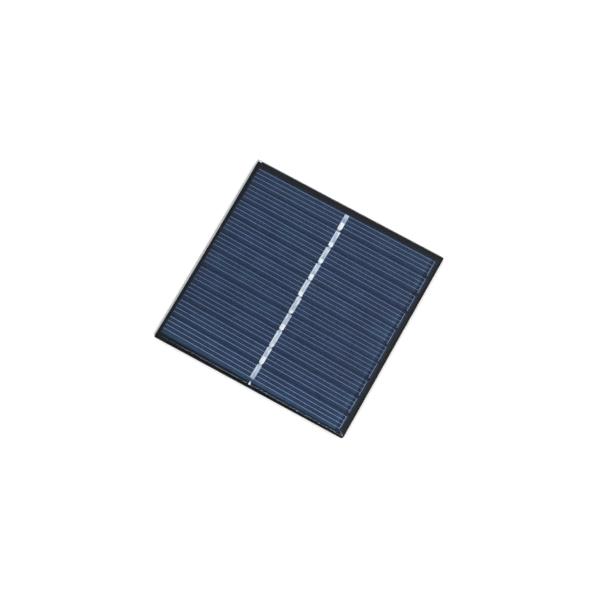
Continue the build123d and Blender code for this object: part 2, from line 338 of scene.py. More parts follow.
def silicon(strip):
    """Blue polycrystalline silicon: sharp-edged crystal grains, each with its own tone."""
    material, tree, shader = new_material(
        f"silicon_{strip:02d}", Roughness=0.42, Specular_IOR_Level=0.06
    )
    at = place(tree, shift=(0.31 * strip, 0.17 * strip, 0.5 * strip))
    warp = add(tree, "ShaderNodeTexNoise", {"Vector": at, "Scale": BEND_SCALE, "Detail": 2.0})
    reach = {0: warp.outputs["Color"], "Scale": BEND_REACH}
    shifted = add(tree, "ShaderNodeVectorMath", reach, operation="SCALE")
    bent = add(tree, "ShaderNodeVectorMath", {0: at, 1: shifted.outputs[0]}, operation="ADD").outputs[0]
    coarse = add(tree, "ShaderNodeTexVoronoi", {"Vector": bent, "Scale": COARSE_CRYSTALS})
    fine = add(tree, "ShaderNodeTexVoronoi", {"Vector": bent, "Scale": FINE_CRYSTALS})
    grain = add(tree, "ShaderNodeSeparateColor", {"Color": coarse.outputs["Color"]})
    flake = add(tree, "ShaderNodeSeparateColor", {"Color": fine.outputs["Color"]})
    tone = ramp(
        tree,
        grain.outputs[0],
        [
            (0.0, (0.0098, 0.0257, 0.0690)),
            (0.35, (0.0110, 0.0285, 0.0752)),
            (0.7, (0.0126, 0.0295, 0.0802)),
            (1.0, (0.0138, 0.0327, 0.0812)),
        ],
    )
    teal_zone = scale_range(tree, noise(tree, at, 0.016, 1.0), 0.0, 0.6, 0.44, 0.68)
    violet_zone = scale_range(tree, noise(tree, at, 0.011, 1.0), 0.6, 0.0, 0.30, 0.48)
    zoned = blend_colour(tree, teal_zone, tone, (0.0098, 0.0337, 0.0712))
    zoned = blend_colour(tree, violet_zone, zoned, (0.0132, 0.0267, 0.0745))
    cloud = scale_range(tree, noise(tree, at, 0.008, 2.0), 0.86, 1.14, 0.3, 0.7)
    light = calculate(tree, "MULTIPLY", scale_range(tree, flake.outputs[1], 0.90, 1.10), cloud)
    own = own_axes(tree, strip)
    margin_full = WAFER_MARGIN_X + WAFER_MARGIN_RUN
    end_shade = scale_range(
        tree, own.outputs["X"], 1.0, WAFER_MARGIN_TONE, WAFER_MARGIN_X, margin_full
    )
    light = calculate(tree, "MULTIPLY", light, end_shade)
    lift = STRIP_TINTS.get(strip, PLAIN)
    channels = {index: calculate(tree, "MULTIPLY", light, lift[index]) for index in range(3)}
    bright = add(tree, "ShaderNodeCombineColor", channels).outputs[0]
    colour = blend_colour(tree, 1.0, zoned, bright, "MULTIPLY")
    colour = blend_colour(tree, 1.0, colour, end_tones(tree, own), "MULTIPLY")
    # Painted light: past its print the last strip is lighter, from the resin's rounded edge above it.
    if strip == STRIPS:
        full = -LAST_PRINT_END - LAST_PRINT_RUN
        past_print = scale_range(tree, own.outputs["Y"], 0.0, 1.0, -LAST_PRINT_END, full)
        colour = blend_colour(tree, past_print, colour, LAST_MARGIN_PAINTED_LIGHT, "MULTIPLY")
    tree.links.new(colour, shader.inputs["Base Color"])
    tree.links.new(scale_range(tree, grain.outputs[2], 0.34, 0.52), shader.inputs["Roughness"])
    bump(tree, shader, flake.outputs[2], 0.004 * MM)
    return material


def silver_paste(strip):
    """Screen-printed silver: pale blue fingers, and a busbar smeared with tin, duller in the middle."""
    material, tree, shader = new_material(
        f"silver_paste_{strip:02d}", Roughness=0.5, Specular_IOR_Level=0.2
    )
    own = own_axes(tree, strip)
    at = place(tree, shift=(0.13 * strip, 0.29 * strip, 0))
    printed = noise(tree, at, 0.0006, 3.0)
    strength = PRINT_STRENGTHS.get(strip, USUAL_PRINT_STRENGTH)
    dark = tuple(strength * channel for channel in FINGER_DARK)
    pale = tuple(strength * channel for channel in FINGER_BRIGHT)
    finger = ramp(tree, printed, [(0.3, dark), (0.7, pale)])
    finger = blend_colour(tree, FINGER_SHARE_OF_END_TONES, finger, end_tones(tree, own), "MULTIPLY")
    drawn_out = place(tree, (0.13 * strip, 0.29 * strip, 0), (1.0, 0.35, 1.0))
    smears = noise(tree, drawn_out, 0.0009, 3.0, 0.6)
    off_centre = calculate(tree, "ABSOLUTE", own.outputs["X"])
    dull = scale_range(tree, off_centre, 0.16, 0.0, *BUSBAR_DULL)
    bright = calculate(tree, "SUBTRACT", smears, dull)
    busbar = ramp(
        tree,
        bright,
        [
            (0.20, (0.270, 0.340, 0.450)),
            (0.42, (0.425, 0.500, 0.600)),
            (0.62, (0.610, 0.680, 0.740)),
        ],
    )
    tint = BUSBAR_TINTS.get(strip, PLAIN)
    busbar = blend_colour(tree, 1.0, busbar, tint, "MULTIPLY")
    down = scale_range(tree, own.outputs["Y"], 0.0, 1.0, *BUSBAR_FADE)
    fade = ramp(tree, down, [(0.0, (1.06, 1.06, 1.05)), (1.0, (0.92, 0.92, 0.94))])
    busbar = blend_colour(tree, 1.0, busbar, fade, "MULTIPLY")
    on_busbar = calculate(tree, "LESS_THAN", off_centre, BUSBAR_HALF_WIDTH + BUSBAR_MARGIN)
    colour = blend_colour(tree, on_busbar, finger, busbar)
    tree.links.new(colour, shader.inputs["Base Color"])
    bump(tree, shader, printed, 0.01 * MM)
    return material


def solder(name, low, high, roughness):
    """Bright tin alloy, a little dull and uneven where it froze."""
    material, tree, shader = new_material(name, Roughness=roughness, Metallic=0.25)
    frozen = noise(tree, place(tree), 0.0007, 3.0, 0.6)
    colour = ramp(tree, frozen, [(0.28, low), (0.62, high)])
    tree.links.new(colour, shader.inputs["Base Color"])
    tree.links.new(scale_range(tree, frozen, roughness - 0.1, roughness + 0.12), shader.inputs["Roughness"])
    bump(tree, shader, frozen, 0.03 * MM)
    return material, tree, shader, colour


def plain_solder(name, low, high, roughness):
    """Solder of one tone, as a finished material."""
    return solder(name, low, high, roughness)[0]


def bead_solder():
    """Solder of the busbar beads, each with its own brightness."""
    material, tree, shader, colour = solder("solder", SOLDER_DARK, SOLDER_BRIGHT, SOLDER_ROUGHNESS)
    first = strip_place(1).translation.y
    last = strip_place(STRIPS).translation.y
    along = add(tree, "ShaderNodeSeparateXYZ", {"Vector": place(tree)}).outputs["Y"]
    share = scale_range(tree, along, 0.0, 1.0, first, last)
    stops = [(index / (STRIPS - 1), (tone, tone, tone)) for index, tone in enumerate(BEAD_TONES)]
    tones = ramp(tree, share, stops, "CONSTANT")
    tree.links.new(blend_colour(tree, 1.0, colour, tones, "MULTIPLY"), shader.inputs["Base Color"])
    return material


def tinned_ribbon():
    """Bright where it is soldered to a busbar, darker where it dips between two strips: flux and a painted
    shade in the gap.
    """
    material, tree, shader = new_material("tinned_ribbon", Roughness=0.4, Metallic=0.25)
    at = place(tree)
    grain = noise(tree, at, 0.0005, 3.0)
    height = add(tree, "ShaderNodeSeparateXYZ", {"Vector": at}).outputs["Z"]
    # Painted shade, with flux: darker below the busbar's height, in the gap between strips.
    out_of_gap_shade = scale_range(tree, height, 0.0, 1.0, *RIBBON_GAP_SHADE_HEIGHTS)
    bright = ramp(tree, grain, [(0.3, (0.56, 0.64, 0.70)), (0.7, (0.74, 0.81, 0.86))])
    dull = ramp(tree, grain, [(0.3, (0.42, 0.49, 0.54)), (0.7, (0.62, 0.69, 0.74))])
    tree.links.new(blend_colour(tree, out_of_gap_shade, dull, bright), shader.inputs["Base Color"])
    bump(tree, shader, grain, 0.01 * MM)
    return material


def end_ribbon():
    """Tinned where it lies on the last busbar, dark from there to the joint: a painted shade where it
    passes the strip's edge.
    """
    dark = (0.030, 0.062, 0.098)
    bright = (0.052, 0.092, 0.132)
    material, tree, shader, dull = solder("end_ribbon", dark, bright, 0.5)
    own = own_axes(tree, STRIPS)
    start, end = (-LAST_PRINT_END - distance for distance in END_RIBBON_SHADE_RUN)
    # Painted shade past the end of the print, down to the joint.
    past = scale_range(tree, own.outputs["Y"], 0.0, 1.0, start, end)
    colour = blend_colour(tree, past, END_RIBBON_BRIGHT, dull)
    tree.links.new(colour, shader.inputs["Base Color"])
    return material


def solder_mask(name, colour, speck, roughness):
    """Cured black lacquer with a faint orange peel and a few pale specks of dust."""
    material, tree, shader = new_material(name, Roughness=roughness, Specular_IOR_Level=0.1)
    at = place(tree)
    peel = noise(tree, at, 0.0009, 2.0)
    cloud = noise(tree, at, 0.006, 2.0)
    darker = tuple(channel * 0.88 for channel in colour)
    paler = tuple(channel * 1.14 for channel in colour)
    body = ramp(tree, cloud, [(0.3, darker), (0.7, paler)])
    dust = add(tree, "ShaderNodeTexVoronoi", {"Vector": at, "Scale": DUST_SPECKS})
    near = calculate(tree, "LESS_THAN", dust.outputs["Distance"], DUST_SIZE)
    tree.links.new(blend_colour(tree, near, body, speck), shader.inputs["Base Color"])
    bump(tree, shader, peel, 0.004 * MM)
    return material


def laminate():
    """Cut edge of dark glass-epoxy board: fine layers of fibre, rough from the router."""
    material, tree, shader = new_material("laminate", Roughness=0.75, Specular_IOR_Level=0.3)
    layers = noise(tree, place(tree, stretch=(0.12, 0.12, 3.2)), 0.0005, 2.0)
    cut = noise(tree, place(tree, stretch=(1.0, 1.0, 0.3)), 0.0005, 4.0, 0.65)
    colour = ramp(
        tree,
        layers,
        [
            (0.35, (0.0080, 0.0080, 0.0064)),
            (0.58, (0.0145, 0.0142, 0.0108)),
            (0.75, (0.028, 0.026, 0.019)),
        ],
    )
    worn = ramp(tree, cut, [(0.35, (0.75, 0.75, 0.75)), (0.7, (1.25, 1.22, 1.15))])
    tree.links.new(blend_colour(tree, 1.0, colour, worn, "MULTIPLY"), shader.inputs["Base Color"])
    bump(tree, shader, cut, 0.03 * MM)
    return material


def bonding_film():
    """Dark blue adhesive sheet, seen in the gaps between the strips, with a painted shade along its
    outline.
    """
    material, tree, shader = new_material("bonding_film", Roughness=0.55, Specular_IOR_Level=0.1)
    low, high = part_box("bonding_film")
    at = place(tree)
    cloud = noise(tree, at, 0.003, 3.0)
    colour = ramp(tree, cloud, [(0.3, (0.0030, 0.0164, 0.0565)), (0.7, (0.0050, 0.0238, 0.0768))])
    axes = add(tree, "ShaderNodeSeparateXYZ", {"Vector": at})
    slant = calculate(tree, "MULTIPLY", axes.outputs["X"], FILM_SLANT)
    above_front = calculate(tree, "ADD", axes.outputs["Y"], slant)
    across = axes.outputs["X"]
    right = scale_range(tree, across, 0.0, 1.0, high.x - FILM_RIGHT[0], high.x - FILM_RIGHT[1])
    left = scale_range(tree, across, 0.0, 1.0, low.x + FILM_LEFT[0], low.x + FILM_LEFT[1])
    sides = calculate(tree, "MAXIMUM", left, right)
    front = scale_range(tree, above_front, 1.0, 0.0, low.y + FILM_FRONT[0], low.y + FILM_FRONT[1])
    to_back = axes.outputs["Y"]
    back = scale_range(tree, to_back, 0.0, 1.0, high.y - FILM_BACK[0], high.y - FILM_BACK[1])
    # Painted shade along the film's outline, under the resin's rim.
    edge_shade = calculate(tree, "MAXIMUM", calculate(tree, "MAXIMUM", sides, back), front)
    tree.links.new(blend_colour(tree, edge_shade, colour, FILM_EDGE_SHADE), shader.inputs["Base Color"])
    bump(tree, shader, cloud, 0.02 * MM)
    return material


def plain_metal(name, low, high, roughness, metallic, grain):
    """Metal or paste with a fine uneven grain."""
    material, tree, shader = new_material(name, Roughness=roughness, Metallic=metallic)
    pattern = noise(tree, place(tree), grain, 3.0)
    tree.links.new(ramp(tree, pattern, [(0.3, low), (0.7, high)]), shader.inputs["Base Color"])
    bump(tree, shader, pattern, 0.01 * MM)
    return material


def clear_epoxy():
    """Water-clear cast resin: it mirrors by its angle and lets the rest straight through."""
    material = bpy.data.materials.new("clear_epoxy")
    material.use_nodes = True
    tree = material.node_tree
    tree.nodes.clear()
    output = add(tree, "ShaderNodeOutputMaterial")
    ripple = noise(tree, place(tree), 0.012, 2.0)
    relief = add(tree, "ShaderNodeBump", {"Height": ripple, "Distance": 0.015 * MM})
    mirror = add(
        tree,
        "ShaderNodeBsdfGlossy",
        {"Color": (1, 1, 1, 1), "Roughness": RESIN_ROUGHNESS, "Normal": relief.outputs["Normal"]},
        distribution="BECKMANN",
    )
    facing = add(tree, "ShaderNodeLayerWeight", {"Blend": 0.5}).outputs["Facing"]
    tint = ramp(
        tree,
        facing,
        [
            (0.0, (0.985, 0.985, 0.978)),
            (0.30, (0.935, 0.940, 0.945)),
            (0.55, (0.56, 0.59, 0.63)),
            (1.0, (0.40, 0.43, 0.47)),
        ],
    )
    across = add(tree, "ShaderNodeSeparateXYZ", {"Vector": place(tree)}).outputs["X"]
    # Painted shade: along the -X lip the resin lets less light through.
    lip_shade = ramp(
        tree,
        scale_range(tree, across, 0.0, 1.0, cad_low.x, cad_low.x + LIP_SHADE_WIDTH),
        [
            (0.0, (0.97, 0.97, 0.97)),
            (0.25, (0.85, 0.86, 0.87)),
            (0.6, (0.84, 0.85, 0.86)),
            (1.0, (1.0, 1.0, 1.0)),
        ],
    )
    tint = blend_colour(tree, 1.0, tint, lip_shade, "MULTIPLY")
    clear = add(tree, "ShaderNodeBsdfTransparent", {"Color": tint})
    fresnel = add(tree, "ShaderNodeFresnel", {"IOR": RESIN_INDEX})
    inside = add(tree, "ShaderNodeNewGeometry").outputs["Backfacing"]
    share = calculate(tree, "MULTIPLY", fresnel.outputs[0], calculate(tree, "SUBTRACT", 1.0, inside))
    mix = add(tree, "ShaderNodeMixShader", {"Fac": share, 1: clear.outputs[0], 2: mirror.outputs[0]})
    tree.links.new(mix.outputs[0], output.inputs["Surface"])
    return material


def scuff_and_glint_resin():
    """Resin whitened by rubbing, pale also as a painted highlight of the mitre: slightly blue on top, paler
    and warmer towards the edge, a painted reflection.
    """
    material, tree, shader = new_material("scuff_and_glint_resin", Roughness=0.6, Specular_IOR_Level=0.5)
    at = place(tree)
    height = add(tree, "ShaderNodeSeparateXYZ", {"Vector": at}).outputs["Z"]
    scuffs = scale_range(tree, noise(tree, at, 0.0003, 3.0), 0.75, 1.15, 0.3, 0.7)
    level = scale_range(tree, height, 0.0, 1.0, *RIDGE_REFLECTION_HEIGHTS)
    # Painted reflection: bluish high on the crest, paler and warmer low down.
    tone = ramp(
        tree,
        level,
        [(0.0, (0.50, 0.47, 0.38)), (0.6, (0.36, 0.38, 0.40)), (1.0, (0.20, 0.25, 0.32))],
    )
    spread = add(tree, "ShaderNodeCombineColor", {0: scuffs, 1: scuffs, 2: scuffs}).outputs[0]
    tree.links.new(blend_colour(tree, 1.0, tone, spread, "MULTIPLY"), shader.inputs["Base Color"])
    bump(tree, shader, scuffs, 0.01 * MM)
    return material


# ------------------------------------------------------------------ epoxy cover
RIM_SEGMENTS = 22
SIDE_SEGMENTS = 24
CORNER_SEGMENTS = 6
RIDGE_RADIUS = 0.3 * MM      # the mitred ridges are rounded by this
WORN_RADIUS = 1.0 * MM       # the worn corner at +X -Y
SINK = 0.01 * MM             # the underside lies this far inside the board's lacquer
SET_BACK = 0.02 * MM         # and the sides this far inside the board's edges
SHORT_OF_EDGE = 0.38 * MM    # at -X -Y the resin stops this far short of the board's front edge
FRONT_BOW = 0.20 * MM        # and its front side is hollow by this much at mid-length
RIM_HEIGHT = 1.3 * MM
RIM_SLOPE_DROP = 0.26 * MM   # the rim first slopes down by this, then turns over the edge
RIM_SLOPE_POWER = 1.5        # how much of that slope lies near the edge
RIM_FULLNESS = 6             # how squarely it turns over the edge; 2 would be an ellipse
# Width of the rim at each corner, going round from -X -Y, on the sides that end and start there.
RIM_WIDTHS = ((1.9 * MM, 2.3 * MM), (1.8 * MM, 2.2 * MM), (2.2 * MM, 2.2 * MM), (2.2 * MM, 1.9 * MM))
WORN_CORNER = 1


def rim_drop(t):
    """Depth of the rim below the flat top, where t is the share of its width in from the edge."""
    slope = RIM_SLOPE_DROP * (1 - t) ** RIM_SLOPE_POWER
    turn = 1 - (1 - (1 - t) ** RIM_FULLNESS) ** (1 / RIM_FULLNESS)
    return slope + (RIM_HEIGHT - RIM_SLOPE_DROP) * turn


def ring_points(low, high, t):
    """One contour of the rim, from the outer edge (t 0) to where the top is flat (t 1)."""
    corners = [(low.x, low.y + SHORT_OF_EDGE), (high.x, low.y), (high.x, high.y), (low.x, high.y)]
    along = [Vector((1, 0)), Vector((0, 1)), Vector((-1, 0)), Vector((0, -1))]
    places = []
    radii = []
    for number, (x, y) in enumerate(corners):
        before, after = RIM_WIDTHS[number]
        inward_after = Vector((-along[number].y, along[number].x))
        inward_before = Vector((-along[number - 1].y, along[number - 1].x))
        places.append(Vector((x, y)) + (inward_after * after + inward_before * before) * t)
        worn = WORN_RADIUS - before * t if number == WORN_CORNER else 0
        radii.append(max(RIDGE_RADIUS, worn))
    points = []
    for number in range(4):
        following = (number + 1) % 4
        ahead = along[number]
        behind = -along[number - 1]
        radius = radii[number]
        centre = places[number] + (ahead + behind) * radius
        for step in range(CORNER_SEGMENTS + 1):
            turn = math.radians(90 * step / CORNER_SEGMENTS)
            points.append(centre - ahead * radius * math.cos(turn) - behind * radius * math.sin(turn))
        start = centre - behind * radius
        end = places[following] - ahead * radii[following]
        bow = FRONT_BOW if number == 0 else 0
        for step in range(1, SIDE_SEGMENTS):
            share = step / SIDE_SEGMENTS
            points.append(start.lerp(end, share) + Vector((0, bow * math.sin(math.pi * share))))
    return points


def rim_steps():
    """Shares of the rim's width, close together at the edge where it turns fastest."""
    return [1 - math.cos(math.radians(90 * step / RIM_SEGMENTS)) for step in range(RIM_SEGMENTS + 1)]


def resin_limits():
    """Corners of the resin's box, a little inside the CAD box at the sides."""
    low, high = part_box("clear_epoxy_cover")
    return low + Vector((0, SET_BACK, -SINK)), high - Vector((SET_BACK, SET_BACK, 0))


def epoxy_cover():
    """Closed resin slab: flat top, rounded rim that falls to a low upright edge, flat underside."""
    low, high = resin_limits()
    mesh = bmesh.new()
    loops = [[mesh.verts.new((point.x, point.y, low.z)) for point in ring_points(low, high, 0)]]
    for t in rim_steps():
        z = high.z - rim_drop(t)
        loops.append([mesh.verts.new((point.x, point.y, z)) for point in ring_points(low, high, t)])
    close_rings(mesh, loops)
    resin = materials["clear_epoxy"]
    piece = finish_piece(mesh, "epoxy_cover", resin, smooth_angle=50)
    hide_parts("clear_epoxy_cover")


# Size of the pale crest that also carries the mitre's painted highlight.
RIDGE_SCUFF_GLINT_WIDTH = 0.20 * MM
RIDGE_SCUFF_GLINT_TAPER = 0.75      # share of that width it loses on its way in
RIDGE_SCUFF_GLINT_SWAY = 0.3        # share by which its width wanders
RIDGE_SCUFF_GLINT_HEIGHT = 0.025 * MM
RIDGE_SCUFF_GLINT_SUNK = 0.4        # share of its height by which it lies in the resin
RIDGE_SCUFF_GLINT_SIDES = 8
RIDGE_SCUFF_GLINT_SHORT = 3         # steps of the rim that it stops short of, at both ends


def scuffed_glint_ridge():
    """Scuffed, whitened crest along the mitre of the worn corner; it also stands in as a painted highlight
    of the mitre.
    """
    low, high = resin_limits()
    middle = WORN_CORNER * (CORNER_SEGMENTS + SIDE_SEGMENTS) + CORNER_SEGMENTS // 2
    across = Vector((1, 1, 0)).normalized()
    mesh = bmesh.new()
    loops = []
    for t in rim_steps()[RIDGE_SCUFF_GLINT_SHORT:-RIDGE_SCUFF_GLINT_SHORT]:
        point = ring_points(low, high, t)[middle]
        crest = Vector((point.x, point.y, high.z - rim_drop(t)))
        sway = 1 + RIDGE_SCUFF_GLINT_SWAY * wobble(t * MM, 11, 0.3 * MM)
        width = RIDGE_SCUFF_GLINT_WIDTH * (1 - RIDGE_SCUFF_GLINT_TAPER * t) * sway
        sunk = RIDGE_SCUFF_GLINT_SUNK * RIDGE_SCUFF_GLINT_HEIGHT
        loop = []
        for step in range(RIDGE_SCUFF_GLINT_SIDES):
            turn = math.radians(360 * step / RIDGE_SCUFF_GLINT_SIDES)
            rise = Vector((0, 0, math.sin(turn) * RIDGE_SCUFF_GLINT_HEIGHT - sunk))
            loop.append(mesh.verts.new(crest + across * math.cos(turn) * width / 2 + rise))
        loops.append(loop)
    close_rings(mesh, loops)
    finish_piece(mesh, "scuffed_glint_ridge", materials["scuff_and_glint_resin"], smooth_angle=60)


def close_rings(mesh, loops):
    """Join equal rings of vertices into one closed skin, with a face over each end."""
    for lower, upper in zip(loops, loops[1:]):
        for index in range(len(lower)):
            following = (index + 1) % len(lower)
            mesh.faces.new((lower[index], lower[following], upper[following], upper[index]))
    mesh.faces.new(loops[-1])
    mesh.faces.new(reversed(loops[0]))
    bmesh.ops.recalc_face_normals(mesh, faces=mesh.faces)


def finish_piece(mesh, name, material, smooth_angle=None):
    """Turn a bmesh into a piece that rides on the panel."""
    data = bpy.data.meshes.new(name)
    mesh.to_mesh(data)
    mesh.free()
    piece = bpy.data.objects.new(name, data)
    bpy.context.scene.collection.objects.link(piece)
    data.materials.append(material)
    if smooth_angle is not None:
        data.shade_smooth()
        data.set_sharp_from_angle(angle=math.radians(smooth_angle))
    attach(piece, "root")
    return piece


# ------------------------------------------------------------------ ribbons and solder
RIBBON_WIDTH = 1.2 * MM
RIBBON_THICKNESS = 0.12 * MM
RIBBON_ROUNDING = 0.42       # of its edges, as a share of the thickness
ROUNDING_STEPS = 4
REAR_TAB = 5.0 * MM          # length of ribbon under the next strip
TAB_FLAT_START = 0.1 * MM
TAB_PINCH = 0.10             # share by which a ribbon narrows halfway up the gap
TAB_STEPS = 12
BEND_CLEARANCE = 0.05 * MM
BUSBAR_TOP = 2.11 * MM
UNDER_STRIP = 1.73 * MM      # underside of a ribbon where it runs below a strip

END_RIBBON_FALL = 0.26 * MM  # run over which the end ribbon drops beside the last strip
END_RIBBON_STEPS = 8
TONGUE_WIDTH = 0.48 * MM     # where it leaves the last strip
TONGUE_END_WIDTH = 0.45 * MM
TONGUE_TIP_WIDTH = 0.25 * MM
TONGUE_NARROWS = 0.7 * MM    # it starts to narrow this far before its upper end
TONGUE_TIP = 0.25 * MM       # and narrows to its tip in this length

SOLDER_WIDTH = 1.66 * MM
SOLDER_OVER_RIBBON = 0.05 * MM
SOLDER_PAST_RIBBON = 0.3 * MM
SOLDER_SET_BACK = 0.03 * MM  # from the lower edge of its strip
BEAD_STATIONS = 34
BEAD_SIDES = 14
BEAD_FULLNESS = 2.6          # how squarely its section turns; 2 would be an ellipse
SHOULDER_RUN = 0.32 * MM     # length in which it rounds off at its lower end
TIP_RUN = 0.55 * MM          # and at its upper end
LEAN_RUN = 1.2 * MM          # length in which it comes from the ribbon's line to the busbar's
BEAD_SWAY = 0.05 * MM        # how far its middle line wanders

DOME_RINGS = 9
DOME_SIDES = 28
DOME_SQUARENESS = 3          # 2 would be an ellipse
DOME_UNEVENNESS = 0.08
NEGATIVE_DOME_SHIFT = 0.27 * MM          # the blob laps over the edge of the last strip
NEGATIVE_DOME_SIZE = (0.70 * MM, 1.50 * MM)
NEGATIVE_DOME_HEIGHT = 0.72 * MM
NEGATIVE_DOME_TILT = 9       # degrees
POSITIVE_DOME_SIZE = (1.5 * MM, 2.3 * MM)


def wobble(where, seed, size):
    """Smooth repeatable variation from about -1 to 1; where is in metres."""
    return field.noise(Vector((where / size, seed * 7.31, 0.5)))


def ease(share):
    """Smooth step from 0 to 1."""
    return (1 - math.cos(math.pi * min(max(share, 0.0), 1.0))) / 2


def ribbon_section(centre, slope, width):
    """Rounded flat section of a ribbon that climbs at slope (radians) along +Y."""
    half = width / 2
    round_by = RIBBON_THICKNESS * RIBBON_ROUNDING
    normal = Vector((0, -math.sin(slope), math.cos(slope)))
    points = []
    for side, start in ((1, -90), (-1, 90)):
        for step in range(ROUNDING_STEPS + 1):
            turn = math.radians(start + 180 * step / ROUNDING_STEPS)
            x = side * (half - round_by) + math.cos(turn) * round_by
            points.append(centre + Vector((x, 0, 0)) + normal * math.sin(turn) * RIBBON_THICKNESS / 2)
    return points


def ribbon_piece(name, nodes, route, material):
    """Flat ribbon through (x, y, z of its middle, width) stations, listed from -Y to +Y."""
    mesh = bmesh.new()
    loops = []
    for number, (x, y, z, width) in enumerate(route):
        before = route[max(number - 1, 0)]
        after = route[min(number + 1, len(route) - 1)]
        slope = math.atan2(after[2] - before[2], after[1] - before[1])
        section = ribbon_section(Vector((x, y, z)), slope, width)
        loops.append([mesh.verts.new(point) for point in section])
    close_rings(mesh, loops)
    piece = finish_piece(mesh, name, material, smooth_angle=50)
    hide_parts(*nodes)


def tab_ribbon(number):
    """Ribbon from under strip number + 1, up through the gap and onto the busbar of strip number."""
    node = f"tab_ribbon_{number:02d}"
    low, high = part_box(node)
    x = (low.x + high.x) / 2
    dip_start = low.y + REAR_TAB + BEND_CLEARANCE
    dip_end = (strip_place(number) @ Vector((0, -strip_depth(number), 0))).y - BEND_CLEARANCE
    below = UNDER_STRIP + RIBBON_THICKNESS / 2
    above = BUSBAR_TOP + RIBBON_THICKNESS / 2
    route = [(x, low.y, below, RIBBON_WIDTH), (x, low.y + TAB_FLAT_START, below, RIBBON_WIDTH)]
    for step in range(TAB_STEPS + 1):
        share = step / TAB_STEPS
        y = dip_start + (dip_end - dip_start) * share
        pinch = 1 - TAB_PINCH * math.sin(math.pi * share)
        route.append((x, y, below + (above - below) * ease(share), RIBBON_WIDTH * pinch))
    route.append((x, high.y, above, RIBBON_WIDTH))
    ribbon_piece(f"ribbon_{number:02d}", [node], route, materials["ribbon"])


def rounded_end(distance, run):
    """From 0 to 1 over the run, like a quarter of a circle."""
    return math.sqrt(1 - (1 - min(distance / run, 1)) ** 2)


def solder_bead(mesh, number):
    """Frozen solder over the ribbon on one busbar: full in the middle, thin at its upper end."""
    own = strip_place(number)
    ribbon_low, ribbon_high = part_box(f"tab_ribbon_{number:02d}")
    start = -strip_depth(number) + SOLDER_SET_BACK
    end = (own.inverted() @ Vector((own.translation.x, ribbon_high.y, 0))).y + SOLDER_PAST_RIBBON
    length = end - start
    lean = (ribbon_low.x + ribbon_high.x) / 2 - (own @ Vector((0, start, 0))).x
    full_height = RIBBON_THICKNESS + SOLDER_OVER_RIBBON
    loops = []
    for station in range(BEAD_STATIONS + 1):
        share = station / BEAD_STATIONS
        y = start + length * share
        from_start = length * share
        to_end = length - from_start
        shoulder = rounded_end(from_start, SHOULDER_RUN)
        tip = rounded_end(to_end, TIP_RUN)
        width = SOLDER_WIDTH * (0.74 + 0.26 * shoulder) * (0.35 + 0.65 * tip)
        width *= 1 + 0.05 * wobble(y, number, 0.9 * MM)
        height = full_height * (0.75 + 0.25 * shoulder) * (0.15 + 0.85 * tip)
        height *= 1 + 0.10 * wobble(y, number + 40, 0.8 * MM)
        x = lean * (1 - ease(from_start / LEAN_RUN)) + BEAD_SWAY * wobble(y, number + 80, 1.1 * MM)
        loop = [mesh.verts.new(own_point(own, x + width / 2, y, BUSBAR_TOP))]
        for step in range(1, BEAD_SIDES):
            across = math.cos(math.pi * step / BEAD_SIDES)
            z = BUSBAR_TOP + height * (1 - abs(across) ** BEAD_FULLNESS) ** 0.5
            loop.append(mesh.verts.new(own_point(own, x + across * width / 2, y, z)))
        loop.append(mesh.verts.new(own_point(own, x - width / 2, y, BUSBAR_TOP)))
        loops.append(loop)
    close_rings(mesh, loops)


def own_point(own, x, y, z):
    """Point at (x, y) on a strip's own axes, at height z above the panel's rear face."""
    flat = own @ Vector((x, y, 0))
    return Vector((flat.x, flat.y, z))


def busbar_solder():
    """All the beads, as one piece."""
    mesh = bmesh.new()
    for number in range(1, STRIPS):
        solder_bead(mesh, number)
    piece = finish_piece(mesh, "busbar_solder", materials["bead_solder"], smooth_angle=60)
    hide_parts("busbar_solder_joints")


def solder_dome(mesh, centre, size, height, tilt, seed):
    """Rounded blob of solder on a pad, with an uneven outline."""
    loops = []
    turn = Matrix.Rotation(math.radians(tilt), 3, "Z")
    power = DOME_SQUARENESS
    for step in range(DOME_RINGS):
        angle = math.radians(90 * step / DOME_RINGS)
        loop = []
        for corner in range(DOME_SIDES):
            around = 2 * math.pi * corner / DOME_SIDES
            x = math.cos(around)
            y = math.sin(around)
            squareness = (abs(x) ** power + abs(y) ** power) ** (-1 / power)
            uneven = 1 + DOME_UNEVENNESS * field.noise(Vector((x, y, seed)))
            reach = squareness * math.cos(angle) * uneven
            flat = turn @ Vector((size[0] / 2 * reach * x, size[1] / 2 * reach * y, 0))
            rise = Vector((0, 0, height * math.sin(angle)))
            loop.append(mesh.verts.new(centre + flat + rise))
        loops.append(loop)
    close_rings(mesh, loops)


def terminal_solder():
    """Negative joint on the border, and the positive joint hidden under the first strip."""
    mesh = bmesh.new()
    low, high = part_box("front_negative_pad")
    centre = Vector(((low.x + high.x) / 2, (low.y + high.y) / 2 + NEGATIVE_DOME_SHIFT, high.z))
    solder_dome(mesh, centre, NEGATIVE_DOME_SIZE, NEGATIVE_DOME_HEIGHT, NEGATIVE_DOME_TILT, 3.0)
    low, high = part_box("front_positive_pad")
    centre = Vector(((low.x + high.x) / 2, (low.y + high.y) / 2, high.z))
    solder_dome(mesh, centre, POSITIVE_DOME_SIZE, UNDER_STRIP - high.z, 0, 5.0)
    piece = finish_piece(mesh, "terminal_solder", materials["solder"], smooth_angle=60)
    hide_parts("terminal_solder_joints")


